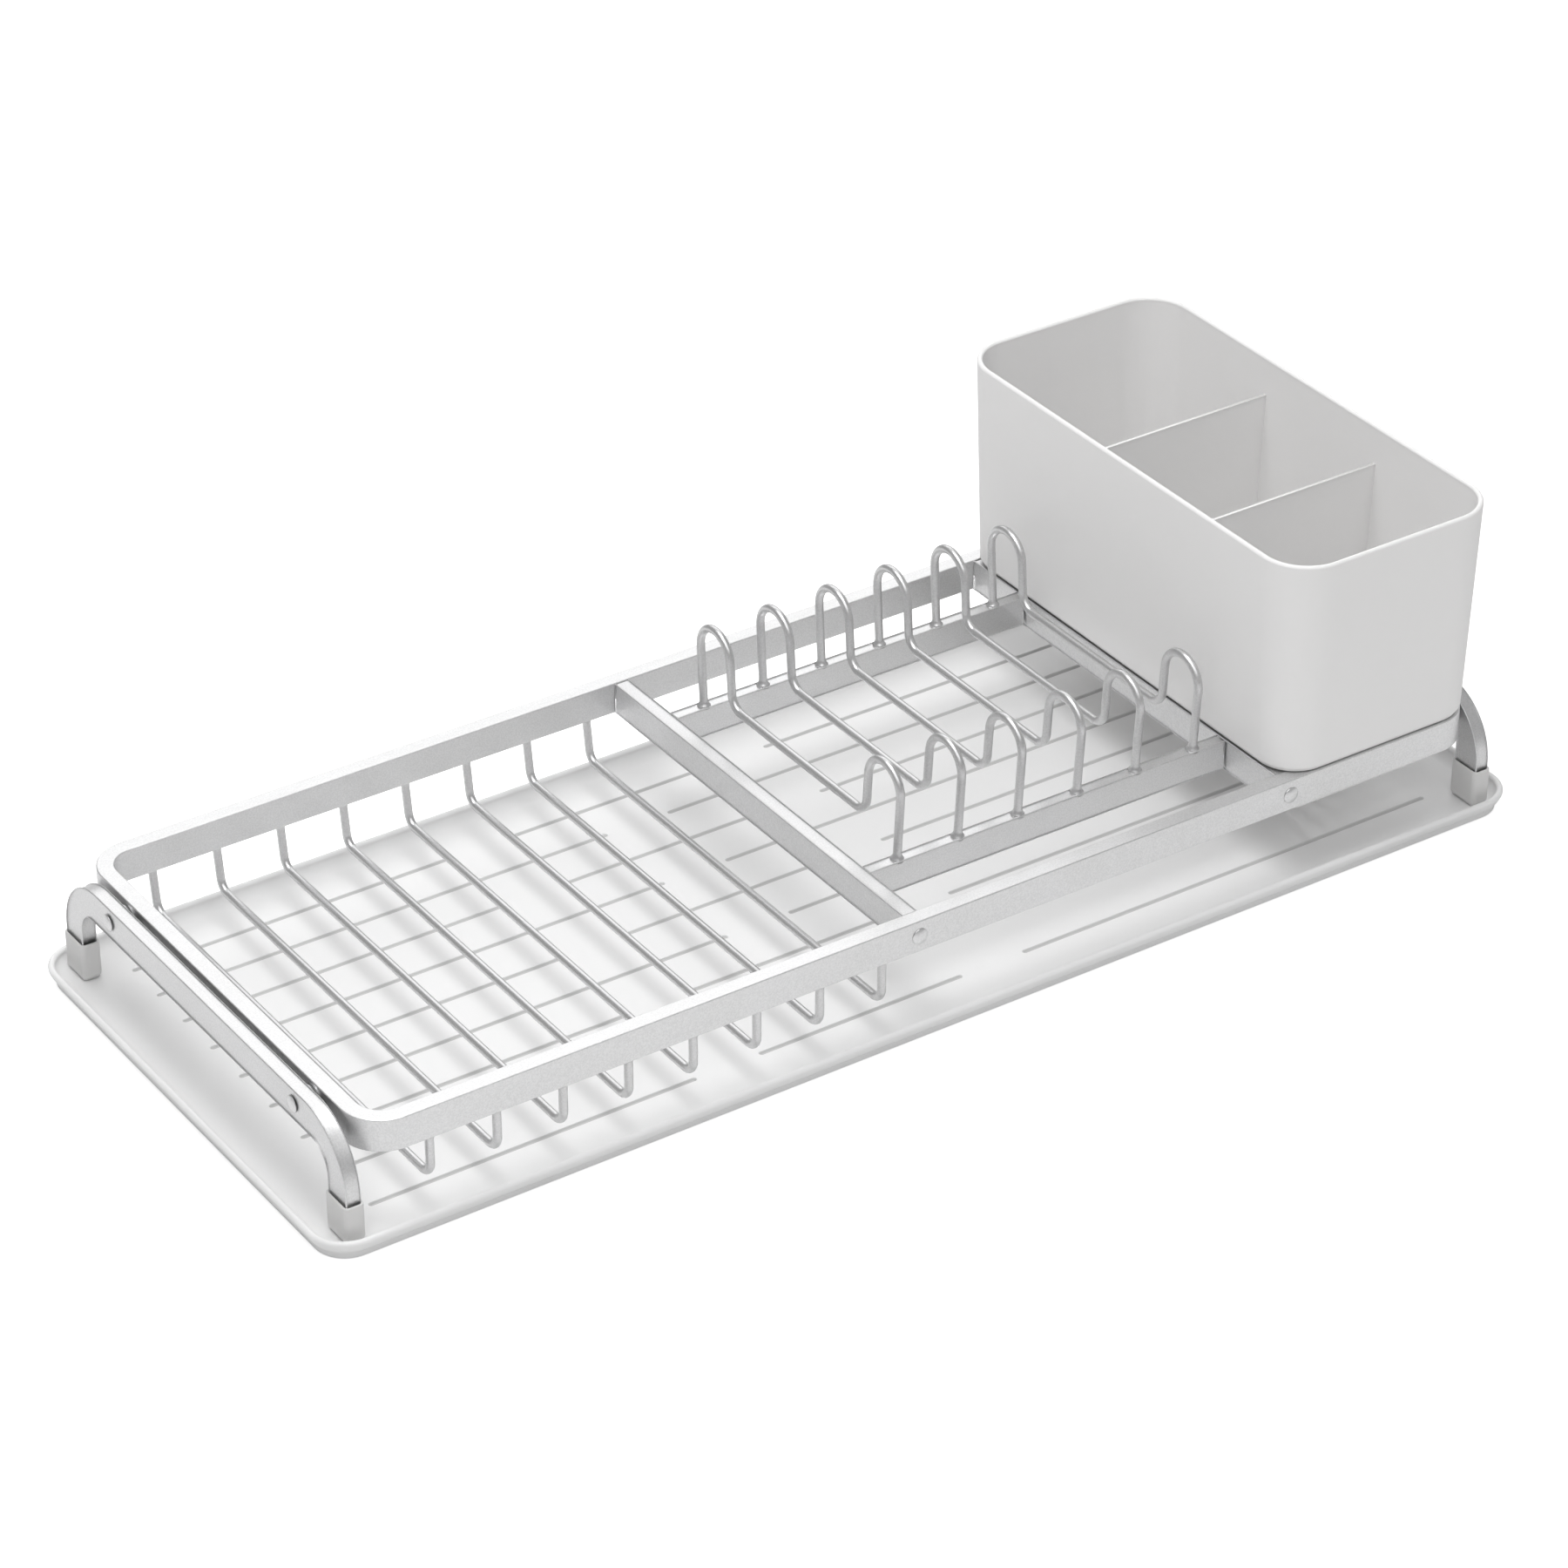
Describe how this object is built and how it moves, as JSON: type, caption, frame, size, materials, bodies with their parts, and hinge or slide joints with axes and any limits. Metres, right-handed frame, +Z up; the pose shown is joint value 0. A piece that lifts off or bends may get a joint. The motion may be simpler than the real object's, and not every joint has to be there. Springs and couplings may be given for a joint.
{
  "type": "dish drying rack",
  "caption": "Low metal dish rack with wire hoops for plates, a sunken wire bay for bowls, a lift-out divided cutlery caddy and a shallow drip tray under it.",
  "frame": {"origin": "centre of the drip tray's footprint, on the surface that the tray stands on", "axes": "+X along the rack towards the caddy, +Y from the front to the rear, +Z up"},
  "size_m": [0.48, 0.199, 0.1263],
  "materials": {
    "bar_metal": "fine satin",
    "wire_metal": "satin",
    "rivet_metal": "satin",
    "foot_plastic": "fine matt grain",
    "tray_plastic": "smooth matt",
    "caddy_plastic": "smooth matt"
  },
  "bodies": {
    "tray": {"drip_tray": "tray_plastic"},
    "rack": {"frame_loop": "bar_metal", "left_leg": "bar_metal", "right_leg": "bar_metal", "front_left_foot": "foot_plastic", "rear_left_foot": "foot_plastic", "front_right_foot": "foot_plastic", "rear_right_foot": "foot_plastic", "leg_spacers": "rivet_metal", "leg_rivets": "rivet_metal", "middle_crossbar": "bar_metal", "right_crossbar": "bar_metal", "crossbar_rivets": "rivet_metal", "front_plate_strip": "bar_metal", "rear_plate_strip": "bar_metal", "plate_wire_1": "wire_metal", "plate_wire_2": "wire_metal", "plate_wire_3": "wire_metal", "plate_wire_4": "wire_metal", "plate_wire_5": "wire_metal", "plate_wire_6": "wire_metal", "bowl_wire_1": "wire_metal", "bowl_wire_2": "wire_metal", "bowl_wire_3": "wire_metal", "bowl_wire_4": "wire_metal", "bowl_wire_5": "wire_metal", "bowl_wire_6": "wire_metal", "bowl_wire_7": "wire_metal", "bowl_wire_8": "wire_metal"},
    "caddy": {"cutlery_caddy": "caddy_plastic"}
  },
  "joints": [
    {"name": "rack_lift", "type": "slide", "parent": "tray", "child": "rack", "axis": [0, 0, 1], "range_m": [0, 0.15]},
    {"name": "caddy_lift", "type": "slide", "parent": "rack", "child": "caddy", "axis": [0, 0, 1], "range_m": [0, 0.12]}
  ]
}
